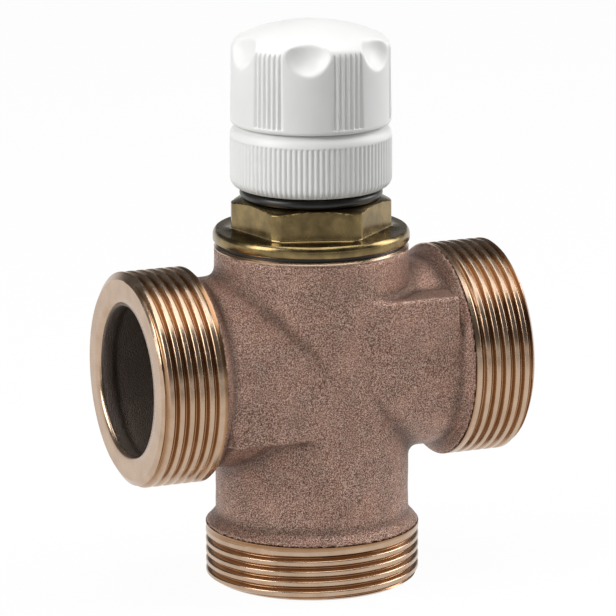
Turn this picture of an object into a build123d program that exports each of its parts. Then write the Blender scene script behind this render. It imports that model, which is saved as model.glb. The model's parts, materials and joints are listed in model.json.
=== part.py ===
from build123d import *
import math
import os

os.makedirs("parts", exist_ok=True)

# Frame: origin at the centre of the bottom port's face, +Z up along the stem,
# +X from side port A on the left to side port B on the right, -Y to the front. All sizes in mm.

# Driving dimensions of the casting
axis_z = 49.0
side_reach = 44.5
thread_r = 23.9
face_r = 22.2
end_chamfer = 1.1
side_thread = 14.85
bottom_thread = 12.4
collar_run = 2.6
column_r = 21.6
tube_r = 21.1
panel_y = 21.25
panel_reach = 26.8
panel_up = 16.8
panel_down = 12.9
panel_start = 1.0
body_top = 76.1
top_bevel = 0.45
bore_r = 16.9
bore_bevel = 0.7
core_r = 17.5
core_drop = 0.5
mouth_depth = 3.6
side_core_end = 20.5
chamber_r = 17.0
land_bottom = 19.0
lower_chamber_floor = 24.0
web_bottom = 46.0
web_top = 52.0
upper_chamber_roof = 69.0
neck_bore_r = 16.0

# Driving dimensions of the stem group
stroke = 5.5
running = 0.05
seat_fit = 0.02
sleeve_r = 11.45
sleeve_inner_r = 9.4
seat_r = 12.5
seat_flange_r = 14.5
lower_seat_z = 25.5
upper_seat_z = 66.0
seal_proud = 0.2
plug_ring_wire = 0.95
stem_r = 3.0
tail_r = 2.0
hub_r = 5.0
hub_bottom = 47.0
hub_top = 53.0
stem_drop = 1.0
plate_drop = 7.0
plate_thickness = 1.5
clip_groove_r = 2.4

# Driving dimensions of the bonnet
gasket_thickness = 0.8
gasket_inset = 1.0
flange_thickness = 2.7
flange_r = 21.85
flange_edge_width = 0.65
flange_edge_height = 1.3
hex_height = 7.0
hex_across_flats = 32.0
hex_corner_r = 17.8
hex_turn = -78.4
hex_foot = 0.5
relief_r = 13.65
relief_height = 2.3
neck_r = 14.9
neck_height = 9.1
neck_wire = 1.1
pocket_r = 9.0
pocket_depth = 21.0
gland_r = 5.0
gland_depth = 9.0
bush_length = 3.0
gland_nut_length = 2.1
gland_nut_head = 2.2
gland_nut_flats = 12.0
spring_r = 7.9
spring_wire = 0.6
spring_turns = 5

# Driving dimensions of the hand head
ring_gap = 0.3
ring_r = 17.95
ring_edge = 2.2
foot_thickness = 2.2
lip_thickness = 2.9
ring_bevel_width = 1.75
ring_bevel_height = 2.7
ring_lip_r = 12.3
ring_grooves = 94
ring_groove_side = 0.6
knob_gap = 0.3
knob_inset = 0.15
knob_taper = 0.2
knob_wall = 2.3
knob_lip = 0.8
knob_side = 16.5
knob_edge_r = 3.0
knob_height = 22.6
groove_side = 0.75
groove_low = 1.0
barrel_r = 12.0
barrel_height = 20.0
hub_bore_depth = 9.5
key_across_flats = 8.0
screw_r = 4.0
screw_above = 3.4
knob_hub_r = 7.0
hub_above = 1.0
clip_above = 2.6
clip_height = 1.0
rib_turn = -85.2
rib_step = 4.1
scoop_turn = -115.2
scoop_r = 7.8
scoop_spread = 4.7
scoop_above = 19.3

# Radii of the knob that follow from the union ring under it
knob_r = ring_r - knob_inset
knob_top_r = knob_r - knob_taper
scoop_out = knob_r + scoop_spread

# Heights that follow from the pieces stacked on the casting
flange_bottom = body_top + gasket_thickness
flange_top = flange_bottom + flange_thickness
hex_top = flange_top + hex_height
neck_thread_bottom = hex_top + relief_height
bonnet_top = neck_thread_bottom + neck_height
pocket_floor = bonnet_top - pocket_depth
gland_floor = pocket_floor - gland_depth
gland_nut_z = pocket_floor - gland_nut_length
stem_top = bonnet_top - stem_drop
plate_z = bonnet_top - plate_drop
ring_bottom = hex_top + 2 * neck_wire + ring_gap
ring_lip_z = bonnet_top + foot_thickness
ring_top = ring_lip_z + lip_thickness
ring_rim = ring_top - ring_bevel_height
knob_bottom = ring_top + knob_gap
barrel_top = bonnet_top + barrel_height
hub_bore_floor = barrel_top - hub_bore_depth
knob_hub_bottom = hub_bore_floor + hub_above
screw_top = barrel_top + screw_above
clip_z = knob_bottom + clip_above
scoop_z = knob_bottom + scoop_above


def ring_section(inner, outer, low, high):
    """Corners of a plain ring's half section in the XZ plane."""
    return [(inner, low), (outer, low), (outer, high), (inner, high)]


def side_arc_middle(radius, z, width, height):
    """Middle of an arc that leaves an upright side at radius, z and ends width further in, height higher."""
    arc_r = (width**2 + height**2) / (2 * width)
    half = math.asin(abs(height) / arc_r) / 2
    return (
        radius - arc_r * (1 - math.cos(half)),
        z + math.copysign(arc_r * math.sin(half), height),
    )


def around(radius, angles, z):
    """Places on a circle about the stem's axis, each turned to face outwards."""
    return [
        Location(
            (radius * math.cos(math.radians(a)), radius * math.sin(math.radians(a)), z),
            (0, 0, a),
        )
        for a in angles
    ]


# Valve body: column and cross tube with soft fillets, flat panels, threaded ports, inner ways
side_shoulder = side_reach - side_thread
ring_groove_half = plug_ring_wire + 0.15
core_z = axis_z - core_drop
with BuildPart() as valve_body:
    # Upright column with the bottom port's collar
    with BuildSketch(Plane.XZ):
        with BuildLine():
            Polyline(
                (0, 0),
                (face_r, 0),
                (thread_r, end_chamfer),
                (thread_r, bottom_thread),
                (thread_r - 0.5, bottom_thread + 0.6),
                (column_r, bottom_thread + collar_run),
                (column_r, body_top - top_bevel),
                (column_r - top_bevel, body_top),
                (0, body_top),
                close=True,
            )
        make_face()
    revolve(axis=Axis.Z)
    # Cross tube with the two side ports' collars
    side_profile = [
        (side_reach, 0),
        (side_reach, face_r),
        (side_reach - end_chamfer, thread_r),
        (side_shoulder, thread_r),
        (side_shoulder - 0.6, thread_r - 0.5),
        (side_shoulder - collar_run, tube_r),
    ]
    right_half = [(x, axis_z + r) for x, r in side_profile]
    left_half = [(-x, axis_z + r) for x, r in reversed(side_profile)]
    with BuildSketch(Plane.XZ):
        with BuildLine():
            Polyline(right_half + left_half, close=True)
        make_face()
    revolve(axis=Axis((0, 0, axis_z), (1, 0, 0)))
    creases = [
        e
        for e in valve_body.edges()
        if e.geom_type not in (GeomType.CIRCLE, GeomType.LINE)
    ]
    fillet(creases, radius=2.2)
    # Flat panels, high on the right and low on the left, front and back
    for side, height in ((1, panel_up), (-1, panel_down)):
        far_z = axis_z + side * height
        with BuildSketch(Plane.YZ.offset(side * panel_start)) as panel:
            with Locations((0, far_z)):
                Rectangle(
                    2 * panel_y,
                    height + 0.8,
                    align=(Align.CENTER, Align.MAX if side > 0 else Align.MIN),
                )
            fillet(
                [v for v in panel.vertices() if abs(v.Z - far_z) < 0.01],
                radius=1.2,
            )
        extrude(amount=side * (panel_reach - panel_start))
    # Upright way from the bottom port to the neck
    with BuildSketch(Plane.XZ):
        with BuildLine():
            Polyline(
                (0, 0),
                (bore_r + bore_bevel, 0),
                (bore_r, bore_bevel),
                (bore_r, mouth_depth),
                (core_r, mouth_depth),
                (core_r, land_bottom - 5.5),
                (seat_flange_r + 0.3, land_bottom - 2.2),
                (seat_flange_r + 0.3, land_bottom),
                (seat_r, land_bottom),
                (seat_r, lower_chamber_floor),
                (chamber_r, lower_chamber_floor),
                (chamber_r, web_bottom),
                (sleeve_r + running, web_bottom),
                (sleeve_r + running, axis_z - ring_groove_half),
                (sleeve_r + running + 2 * plug_ring_wire, axis_z - ring_groove_half),
                (sleeve_r + running + 2 * plug_ring_wire, axis_z + ring_groove_half),
                (sleeve_r + running, axis_z + ring_groove_half),
                (sleeve_r + running, web_top),
                (chamber_r, web_top),
                (chamber_r, upper_chamber_roof),
                (neck_bore_r, upper_chamber_roof),
                (neck_bore_r, body_top),
                (0, body_top),
                close=True,
            )
        make_face()
    revolve(axis=Axis.Z, mode=Mode.SUBTRACT)
    # Side ways, and their turns down from A and up from B
    for side in (-1, 1):
        with BuildSketch(Plane.XZ):
            with BuildLine():
                Polyline(
                    (side * side_core_end, core_z),
                    (side * side_reach, core_z),
                    (side * side_reach, core_z + bore_r + bore_bevel),
                    (side * (side_reach - bore_bevel), core_z + bore_r),
                    (side * (side_reach - mouth_depth), core_z + bore_r),
                    (side * (side_reach - mouth_depth), core_z + core_r),
                    (side * (side_core_end + 3), core_z + core_r),
                    (side * side_core_end, core_z + core_r - 3),
                    close=True,
                )
            make_face()
        revolve(axis=Axis((0, 0, core_z), (1, 0, 0)), mode=Mode.SUBTRACT)
    turn_r = core_r - 1.5
    with BuildSketch(Plane.YZ.offset(-side_core_end - 1)):
        with Locations((0, core_z)):
            Circle(turn_r)
        with Locations((0, web_bottom)):
            Rectangle(
                2 * core_r,
                2 * core_r,
                align=(Align.CENTER, Align.MIN),
                mode=Mode.SUBTRACT,
            )
    extrude(amount=side_core_end - 8, mode=Mode.SUBTRACT)
    with BuildSketch(Plane.YZ.offset(side_core_end + 1)):
        with Locations((0, core_z)):
            Circle(turn_r)
        with Locations((0, web_top)):
            Rectangle(
                2 * core_r,
                2 * core_r,
                align=(Align.CENTER, Align.MAX),
                mode=Mode.SUBTRACT,
            )
    extrude(amount=-(side_core_end - 8), mode=Mode.SUBTRACT)
valve_body.part.label = "valve_body"
export_step(valve_body.part, "parts/valve_body.step")

# Lower seat ring, put in from the bottom port
with BuildPart() as lower_seat_ring:
    with BuildSketch(Plane.XZ):
        with BuildLine():
            Polyline(
                (sleeve_inner_r + 0.2, land_bottom - 1.5),
                (seat_flange_r, land_bottom - 1.5),
                (seat_flange_r, land_bottom),
                (seat_r - seat_fit, land_bottom),
                (seat_r - seat_fit, lower_seat_z - 0.4),
                (seat_r - 0.4, lower_seat_z),
                (sleeve_inner_r + 0.2, lower_seat_z),
                close=True,
            )
        make_face()
    revolve(axis=Axis.Z)
lower_seat_ring.part.label = "lower_seat_ring"
export_step(lower_seat_ring.part, "parts/lower_seat_ring.step")

# Sealing ring in the web's groove
with BuildPart() as plug_ring:
    with Locations((0, 0, axis_z)):
        Torus(sleeve_r + running + plug_ring_wire - 0.01, plug_ring_wire - 0.02)
plug_ring.part.label = "plug_ring"
export_step(plug_ring.part, "parts/plug_ring.step")

# Hollow plug at the top of its stroke: tube, soft-seal grooves and three arms to the hub
sleeve_bottom = lower_seat_z + stroke
sleeve_top = upper_seat_z
seal_inner = sleeve_inner_r + 0.5
seal_outer = sleeve_r - 0.5
seal_height = 1.4
with BuildPart() as plug_sleeve:
    with BuildSketch(Plane.XZ):
        with BuildLine():
            Polyline(
                (sleeve_inner_r, sleeve_bottom + seal_proud),
                (seal_inner, sleeve_bottom + seal_proud),
                (seal_inner, sleeve_bottom + seal_height),
                (seal_outer, sleeve_bottom + seal_height),
                (seal_outer, sleeve_bottom + seal_proud),
                (sleeve_r, sleeve_bottom + seal_proud),
                (sleeve_r, sleeve_top - seal_proud),
                (seal_outer, sleeve_top - seal_proud),
                (seal_outer, sleeve_top - seal_height),
                (seal_inner, sleeve_top - seal_height),
                (seal_inner, sleeve_top - seal_proud),
                (sleeve_inner_r, sleeve_top - seal_proud),
                close=True,
            )
        make_face()
    revolve(axis=Axis.Z)
    with BuildSketch(Plane.XY.offset(hub_bottom)):
        Circle(hub_r)
        with Locations(around((hub_r + sleeve_inner_r) / 2, (0, 120, 240), 0)):
            Rectangle(sleeve_inner_r - hub_r + 1.6, 2.4)
        Circle(tail_r + running, mode=Mode.SUBTRACT)
    extrude(amount=hub_top - hub_bottom)
plug_sleeve.part.label = "plug_sleeve"
export_step(plug_sleeve.part, "parts/plug_sleeve.step")

# Soft rings in the plug's two rims
for name, low in (
    ("lower_plug_seal", sleeve_bottom),
    ("upper_plug_seal", sleeve_top - seal_height),
):
    with BuildPart() as seal:
        with BuildSketch(Plane.XY.offset(low)):
            Circle(seal_outer)
            Circle(seal_inner, mode=Mode.SUBTRACT)
        extrude(amount=seal_height)
    seal.part.label = name
    export_step(seal.part, "parts/" + name + ".step")

# Washer and nut under the plug's hub
washer_thickness = 0.8
nut_height = 3.2
with BuildPart() as plug_washer:
    with BuildSketch(Plane.XY.offset(hub_bottom - washer_thickness)):
        Circle(4.5)
        Circle(tail_r + running, mode=Mode.SUBTRACT)
    extrude(amount=washer_thickness)
plug_washer.part.label = "plug_washer"
export_step(plug_washer.part, "parts/plug_washer.step")

with BuildPart() as plug_nut:
    with BuildSketch(Plane.XY.offset(hub_bottom - washer_thickness - nut_height)):
        RegularPolygon(3.5, 6, major_radius=False)
        Circle(tail_r + seat_fit, mode=Mode.SUBTRACT)
    extrude(amount=nut_height)
plug_nut.part.label = "plug_nut"
export_step(plug_nut.part, "parts/plug_nut.step")

# Stem with its thin tail, the groove for the open ring and a rounded tip
stem_bottom = hub_bottom - washer_thickness - nut_height - 0.8
groove_z = plate_z + plate_thickness
groove_height = 0.8
with BuildPart() as stem:
    with BuildSketch(Plane.XZ):
        with BuildLine():
            Polyline(
                (0, stem_bottom),
                (tail_r - 0.4, stem_bottom),
                (tail_r, stem_bottom + 0.4),
                (tail_r, hub_top),
                (stem_r, hub_top),
                (stem_r, groove_z),
                (clip_groove_r, groove_z),
                (clip_groove_r, groove_z + groove_height + 0.05),
                (stem_r, groove_z + groove_height + 0.05),
                (stem_r, stem_top - 1.0),
                (stem_r - 0.8, stem_top),
                (0, stem_top),
                close=True,
            )
        make_face()
    revolve(axis=Axis.Z)
stem.part.label = "stem"
export_step(stem.part, "parts/stem.step")

# Bonnet: one turned piece with spigot, seat, flange, hexagon, neck and inner pocket
with BuildPart() as bonnet:
    with BuildSketch(Plane.XZ):
        with BuildLine():
            Polyline(
                (0, upper_seat_z),
                (seat_r, upper_seat_z),
                (seat_r + 0.5, upper_seat_z + 0.5),
                (seat_r + 0.5, upper_chamber_roof),
                (neck_bore_r - seat_fit, upper_chamber_roof + 0.8),
                (neck_bore_r - seat_fit, flange_bottom),
                (flange_r - 0.35, flange_bottom),
                (flange_r, flange_bottom + 0.35),
                (flange_r, flange_top - flange_edge_height),
            )
            ThreePointArc(
                (flange_r, flange_top - flange_edge_height),
                side_arc_middle(
                    flange_r,
                    flange_top - flange_edge_height,
                    flange_edge_width,
                    flange_edge_height,
                ),
                (flange_r - flange_edge_width, flange_top),
            )
            Polyline(
                (flange_r - flange_edge_width, flange_top),
                (0, flange_top),
                (0, upper_seat_z),
            )
        make_face()
    revolve(axis=Axis.Z)
    with BuildSketch(Plane.XY.offset(flange_top)):
        RegularPolygon(hex_across_flats / 2, 6, major_radius=False, rotation=hex_turn)
        Circle(hex_corner_r, mode=Mode.INTERSECT)
    extrude(amount=hex_height)
    foot_edges = [
        e
        for e in bonnet.edges()
        if abs(e.center().Z - flange_top) < 0.01 and e.length < hex_across_flats
    ]
    fillet(foot_edges, radius=hex_foot)
    # Turned corners at the hexagon's top
    with BuildSketch(Plane.XZ):
        with BuildLine():
            Polyline(
                (hex_across_flats / 2 - 0.8, hex_top),
                (hex_corner_r + 1, hex_top - 1.5),
                (hex_corner_r + 1, hex_top + 1),
                (hex_across_flats / 2 - 0.8, hex_top + 1),
                close=True,
            )
        make_face()
    revolve(axis=Axis.Z, mode=Mode.SUBTRACT)
    with BuildSketch(Plane.XZ):
        with BuildLine():
            Polyline(
                (0, hex_top),
                (relief_r, hex_top),
                (relief_r, neck_thread_bottom),
                (neck_r - 0.5, neck_thread_bottom),
                (neck_r, neck_thread_bottom + 0.5),
                (neck_r, bonnet_top - 0.8),
                (neck_r - 0.8, bonnet_top),
                (0, bonnet_top),
                close=True,
            )
        make_face()
    revolve(axis=Axis.Z)
    # Stem hole, gland bore and spring pocket
    with BuildSketch(Plane.XZ):
        with BuildLine():
            Polyline(
                (0, upper_seat_z),
                (stem_r + running, upper_seat_z),
                (stem_r + running, gland_floor),
                (gland_r, gland_floor),
                (gland_r, pocket_floor),
                (pocket_r, pocket_floor),
                (pocket_r, bonnet_top),
                (0, bonnet_top),
                close=True,
            )
        make_face()
    revolve(axis=Axis.Z, mode=Mode.SUBTRACT)
bonnet.part.label = "bonnet"
export_step(bonnet.part, "parts/bonnet.step")

# Dark gasket between casting and bonnet flange
with BuildPart() as bonnet_gasket:
    with BuildSketch(Plane.XY.offset(body_top)):
        Circle(column_r - gasket_inset)
        Circle(neck_bore_r + seat_fit, mode=Mode.SUBTRACT)
    extrude(amount=flange_bottom - body_top)
bonnet_gasket.part.label = "bonnet_gasket"
export_step(bonnet_gasket.part, "parts/bonnet_gasket.step")

# Black ring around the neck, on top of the hexagon
with BuildPart() as neck_ring:
    with Locations((0, 0, hex_top + neck_wire + 0.02)):
        Torus(relief_r + neck_wire + 0.01, neck_wire)
neck_ring.part.label = "neck_ring"
export_step(neck_ring.part, "parts/neck_ring.step")

# Guide bush, two stem rings and gland nut, stacked in the gland bore
bush_top = gland_floor + bush_length
ring_space = (gland_nut_z - bush_top) / 2
stem_wire = (gland_r - stem_r) / 2 - 0.03
with BuildPart() as guide_bush:
    with BuildSketch(Plane.XZ):
        with BuildLine():
            Polyline(
                ring_section(
                    stem_r + running, gland_r - seat_fit, gland_floor, bush_top
                ),
                close=True,
            )
        make_face()
    revolve(axis=Axis.Z)
guide_bush.part.label = "guide_bush"
export_step(guide_bush.part, "parts/guide_bush.step")

with BuildPart() as stem_rings:
    with Locations((0, 0, bush_top + ring_space / 2), (0, 0, bush_top + ring_space * 1.5)):
        Torus((gland_r + stem_r) / 2 + 0.01, stem_wire)
stem_rings.part.label = "stem_rings"
export_step(stem_rings.part, "parts/stem_rings.step")

with BuildPart() as gland_nut:
    with BuildSketch(Plane.XY.offset(gland_nut_z)):
        Circle(gland_r - seat_fit)
        Circle(stem_r + running, mode=Mode.SUBTRACT)
    extrude(amount=pocket_floor - gland_nut_z)
    with BuildSketch(Plane.XY.offset(pocket_floor)):
        RegularPolygon(gland_nut_flats / 2, 6, major_radius=False)
        Circle(stem_r + running, mode=Mode.SUBTRACT)
    extrude(amount=gland_nut_head)
gland_nut.part.label = "gland_nut"
export_step(gland_nut.part, "parts/gland_nut.step")

# Return spring between the pocket's floor and the spring plate
spring_height = plate_z - pocket_floor - 2 * spring_wire - 0.1
with BuildPart() as return_spring:
    with BuildLine() as wire:
        Helix(
            pitch=spring_height / spring_turns,
            height=spring_height,
            radius=spring_r,
            center=(0, 0, pocket_floor + spring_wire + 0.05),
        )
    with BuildSketch(Plane(origin=wire.line @ 0, z_dir=wire.line % 0)):
        Circle(spring_wire)
    sweep(path=wire.line, is_frenet=True)
return_spring.part.label = "return_spring"
export_step(return_spring.part, "parts/return_spring.step")

# Spring plate and the open ring above it
plate_r = pocket_r - 0.4
with BuildPart() as spring_plate:
    with BuildSketch(Plane.XZ):
        with BuildLine():
            Polyline(
                (stem_r + seat_fit, plate_z),
                (plate_r - 0.2, plate_z),
                (plate_r, plate_z + 0.2),
                (plate_r, plate_z + plate_thickness - 0.2),
                (plate_r - 0.2, plate_z + plate_thickness),
                (stem_r + seat_fit, plate_z + plate_thickness),
                close=True,
            )
        make_face()
    revolve(axis=Axis.Z)
spring_plate.part.label = "spring_plate"
export_step(spring_plate.part, "parts/spring_plate.step")

with BuildPart() as stem_circlip:
    with BuildSketch(Plane.XY.offset(groove_z)):
        Circle(stem_r + 1.4)
        Circle(clip_groove_r + seat_fit, mode=Mode.SUBTRACT)
        with Locations((stem_r + 0.5, 0)):
            Rectangle(4.0, 2.6, mode=Mode.SUBTRACT)
    extrude(amount=groove_height)
stem_circlip.part.label = "stem_circlip"
export_step(stem_circlip.part, "parts/stem_circlip.step")

# Fixed core of the head: foot flange, barrel, clip groove, six-sided guide and hub bore
with BuildPart() as head_base:
    with BuildSketch(Plane.XZ):
        with BuildLine():
            Polyline(
                (0, bonnet_top),
                (neck_r - 0.5, bonnet_top),
                (neck_r - 0.5, ring_lip_z),
                (barrel_r, ring_lip_z),
                (barrel_r, clip_z - running),
                (barrel_r - 0.8, clip_z - running),
                (barrel_r - 0.8, clip_z + clip_height + running),
                (barrel_r, clip_z + clip_height + running),
                (barrel_r, barrel_top - 0.8),
                (barrel_r - 0.8, barrel_top),
                (knob_hub_r + 0.4, barrel_top),
                (knob_hub_r + 0.4, hub_bore_floor),
                (0, hub_bore_floor),
                close=True,
            )
        make_face()
    revolve(axis=Axis.Z)
    with BuildSketch(Plane.XY.offset(bonnet_top)):
        RegularPolygon(key_across_flats / 2 + running, 6, major_radius=False)
    extrude(amount=hub_bore_floor - bonnet_top, mode=Mode.SUBTRACT)
head_base.part.label = "head_base"
export_step(head_base.part, "parts/head_base.step")

# Union ring: knurled outside, threaded bore and the lip that holds the core down
with BuildPart() as union_ring:
    with BuildSketch(Plane.XZ):
        with BuildLine():
            ThreePointArc(
                (ring_r - ring_edge, ring_bottom),
                side_arc_middle(ring_r, ring_bottom + ring_edge, ring_edge, -ring_edge),
                (ring_r, ring_bottom + ring_edge),
            )
            Polyline((ring_r, ring_bottom + ring_edge), (ring_r, ring_rim))
            ThreePointArc(
                (ring_r, ring_rim),
                side_arc_middle(ring_r, ring_rim, ring_bevel_width, ring_bevel_height),
                (ring_r - ring_bevel_width, ring_top),
            )
            Polyline(
                (ring_r - ring_bevel_width, ring_top),
                (ring_lip_r, ring_top),
                (ring_lip_r, ring_lip_z),
                (neck_r + running, ring_lip_z),
                (neck_r + running, ring_bottom),
                (ring_r - ring_edge, ring_bottom),
            )
        make_face()
    revolve(axis=Axis.Z)
    ring_angles = [k * 360 / ring_grooves for k in range(ring_grooves)]
    with Locations(around(ring_r + 0.05, ring_angles, (ring_bottom + ring_rim) / 2)):
        Box(
            ring_groove_side,
            ring_groove_side,
            ring_rim - ring_bottom + 0.2,
            rotation=(0, 0, 45),
            mode=Mode.SUBTRACT,
        )
union_ring.part.label = "union_ring"
export_step(union_ring.part, "parts/union_ring.step")

# Knob: domed cap with six scoops and six rib fields, inner sleeve and threaded hub
edge_z = knob_bottom + knob_side
dome_top = knob_bottom + knob_height
edge_centre_r = knob_top_r - knob_edge_r
rise = knob_height - knob_side
dome_r = (edge_centre_r**2 + rise**2 - knob_edge_r**2) / (2 * (rise - knob_edge_r))
dome_z = dome_top - dome_r
meet = math.atan2(edge_z - dome_z, edge_centre_r)
dome_half = (meet + math.pi / 2) / 2
sleeve_groove_r = barrel_r + 0.8
with BuildPart() as knob:
    with BuildSketch(Plane.XZ):
        with BuildLine():
            Polyline(
                (0, dome_top),
                (0, knob_bottom),
                (knob_r - knob_lip, knob_bottom),
            )
            ThreePointArc(
                (knob_r - knob_lip, knob_bottom),
                side_arc_middle(knob_r, knob_bottom + knob_lip, knob_lip, -knob_lip),
                (knob_r, knob_bottom + knob_lip),
            )
            Polyline((knob_r, knob_bottom + knob_lip), (knob_top_r, edge_z))
            ThreePointArc(
                (knob_top_r, edge_z),
                (
                    edge_centre_r + knob_edge_r * math.cos(meet / 2),
                    edge_z + knob_edge_r * math.sin(meet / 2),
                ),
                (
                    edge_centre_r + knob_edge_r * math.cos(meet),
                    edge_z + knob_edge_r * math.sin(meet),
                ),
            )
            ThreePointArc(
                (
                    edge_centre_r + knob_edge_r * math.cos(meet),
                    edge_z + knob_edge_r * math.sin(meet),
                ),
                (dome_r * math.cos(dome_half), dome_z + dome_r * math.sin(dome_half)),
                (0, dome_top),
            )
        make_face()
    revolve(axis=Axis.Z)
    # Thumb scoops
    scoop_angles = [scoop_turn + 60 * k for k in range(6)]
    with Locations(around(scoop_out, scoop_angles, scoop_z)):
        Sphere(scoop_r, mode=Mode.SUBTRACT)
    # Rib fields
    rib_angles = [
        rib_turn + 60 * k + rib_step * (j - 2.5) for k in range(6) for j in range(6)
    ]
    rib_bottom = knob_bottom + groove_low
    rib_top = edge_z + knob_edge_r
    with Locations(
        around((knob_r + knob_top_r) / 2, rib_angles, (rib_bottom + rib_top) / 2)
    ):
        Box(
            groove_side,
            groove_side,
            rib_top - rib_bottom,
            rotation=(0, 0, 45),
            mode=Mode.SUBTRACT,
        )
    # Room for the core, clip groove, and the hollow under the skirt
    with BuildSketch(Plane.XZ):
        with BuildLine():
            Polyline(
                (0, knob_bottom),
                (barrel_r + running, knob_bottom),
                (barrel_r + running, clip_z - running),
                (sleeve_groove_r, clip_z - running),
                (sleeve_groove_r, clip_z + clip_height + running),
                (barrel_r + running, clip_z + clip_height + running),
                (barrel_r + running, screw_top + 0.6),
                (0, screw_top + 0.6),
                close=True,
            )
        make_face()
    revolve(axis=Axis.Z, mode=Mode.SUBTRACT)
    with BuildSketch(Plane.XY.offset(knob_bottom)):
        Circle(knob_r - knob_wall)
        Circle(sleeve_groove_r + 0.9, mode=Mode.SUBTRACT)
    extrude(amount=10.5, mode=Mode.SUBTRACT)
    with BuildSketch(Plane.XY.offset(knob_hub_bottom)):
        Circle(knob_hub_r)
        Circle(screw_r + running, mode=Mode.SUBTRACT)
    extrude(amount=screw_top + 0.6 - knob_hub_bottom)
knob.part.label = "knob"
export_step(knob.part, "parts/knob.step")

# Open ring that keeps the knob on the core
with BuildPart() as knob_clip:
    with BuildSketch(Plane.XY.offset(clip_z)):
        Circle(sleeve_groove_r - running)
        Circle(barrel_r - 0.8 + running, mode=Mode.SUBTRACT)
        with Locations((barrel_r, 0)):
            Rectangle(4.0, 3.0, mode=Mode.SUBTRACT)
    extrude(amount=clip_height)
knob_clip.part.label = "knob_clip"
export_step(knob_clip.part, "parts/knob_clip.step")

# Pusher: six-sided foot and screw
with BuildPart() as pusher:
    with BuildSketch(Plane.XY.offset(stem_top)):
        RegularPolygon(key_across_flats / 2, 6, major_radius=False)
    extrude(amount=knob_hub_bottom - 0.5 - stem_top)
    with BuildSketch(Plane.XY.offset(knob_hub_bottom - 0.5)):
        Circle(screw_r)
    extrude(amount=screw_top - knob_hub_bottom + 0.5)
pusher.part.label = "pusher"
export_step(pusher.part, "parts/pusher.step")
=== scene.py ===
"""A three-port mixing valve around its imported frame: bronze casting, brass bonnet and white hand head.

Lengths are in millimetres up to the moment they go into a mesh, which is in metres.
"""
import json
import math

import bmesh
import bpy
import numpy as np
from mathutils import Matrix, Vector


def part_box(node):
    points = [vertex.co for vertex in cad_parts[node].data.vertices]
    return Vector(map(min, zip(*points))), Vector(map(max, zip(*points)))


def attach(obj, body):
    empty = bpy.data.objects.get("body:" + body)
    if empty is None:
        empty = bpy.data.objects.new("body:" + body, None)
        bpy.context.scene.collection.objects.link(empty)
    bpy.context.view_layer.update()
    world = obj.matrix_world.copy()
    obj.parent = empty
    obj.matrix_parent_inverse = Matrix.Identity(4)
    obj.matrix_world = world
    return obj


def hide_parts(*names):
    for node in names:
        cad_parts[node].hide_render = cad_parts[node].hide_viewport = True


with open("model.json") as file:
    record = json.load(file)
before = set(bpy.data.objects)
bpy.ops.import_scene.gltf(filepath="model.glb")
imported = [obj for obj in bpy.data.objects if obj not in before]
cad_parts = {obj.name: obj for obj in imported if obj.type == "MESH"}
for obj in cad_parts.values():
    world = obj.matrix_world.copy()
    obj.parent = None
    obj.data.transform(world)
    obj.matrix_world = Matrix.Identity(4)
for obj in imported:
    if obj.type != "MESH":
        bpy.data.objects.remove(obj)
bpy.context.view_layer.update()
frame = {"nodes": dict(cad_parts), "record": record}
MM = 0.001
tiny = 1e-6
mounts = {m["name"]: m for m in frame["record"]["mounts"]}


def node_box(name):
    """Lowest and highest corner of a CAD node in mm."""
    low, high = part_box(name)
    return np.array(low) / MM, np.array(high) / MM


# Sizes of the casting and its ports
axis_z = mounts["port_a_thread"]["pos_m"][2] / MM
thread_r = mounts["port_a_thread"]["dims"]["r_mm"]
side_reach = node_box("valve_body")[1][0]
body_top = node_box("valve_body")[1][2]
inch = 25.4
pitch = inch / 11
thread_depth = 1.0
thread_fade = 1.3 * pitch
face_r = 22.2
end_chamfer = 1.1
side_shoulder = side_reach - end_chamfer - mounts["port_a_thread"]["dims"]["length_mm"]
bottom_shoulder = end_chamfer + mounts["port_ab_thread"]["dims"]["length_mm"]
bore_r = 16.9
bore_bevel = 0.7
core_r = 17.5
column_r = 21.6
top_bevel = 0.45
top_turned = 0.7

# Places of a thread crest along each port's axis, as the photograph shows them
crest_a = 31.0
crest_b = 30.45
crest_ab = -11.2

# Surface of the casting: mesh width, then height, size and seed of its two layers of noise, and the
# rounds of relaxing that tell its hollows
casting_grid = 0.69
broad_noise = (0.09, 7.0, 3)
narrow_noise = (0.05, 2.2, 5)
hollow_rounds = 24

# Room that the casting leaves for the turned pieces: under the threads, behind the faces, at the top
under_thread = 2.0
behind_face = 0.75
under_top = 0.1

# Sizes of the bonnet
flange_bottom = node_box("bonnet_gasket")[1][2]
flange_r = node_box("bonnet")[1][0]
flange_top = flange_bottom + 2.7
flange_edge = (0.65, 1.3)
flange_foot = [(-0.35, 0), (-0.3, 0.03), (-0.03, 0.3), (0, 0.37)]
flange_middle_r = 20.0
hex_top = flange_top + 7.0
hex_flat = 16.0
hex_corner_r = 17.8
hex_rim_r = 14.4
flat_turn = -48.4
hex_foot = 0.5
cone_top_r = 15.2
cone_slope = 2.4
cone_foot = 85.0
relief_r = 13.65
neck_r = 14.9
neck_core_r = neck_r - 1.4
neck_thread_bottom = hex_top + 2.3
neck_pitch = 1.5
neck_thread_depth = 0.85
neck_crest = 90.0
neck_fade = 0.3
neck_chamfer = 0.8
neck_inner_r = 9.2
bonnet_top = node_box("bonnet")[1][2]

# Sizes inside the bonnet
seat_r = 12.5
seat_z = 66.0
skirt_r = 13.0
skirt_top = 69.0
plug_r = 15.98
pocket_r = 9.0
pocket_floor = 77.0
pocket_rim = bonnet_top - 0.2
gland_r = 5.0
gland_floor = 68.0
stem_hole_r = 3.05

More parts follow.
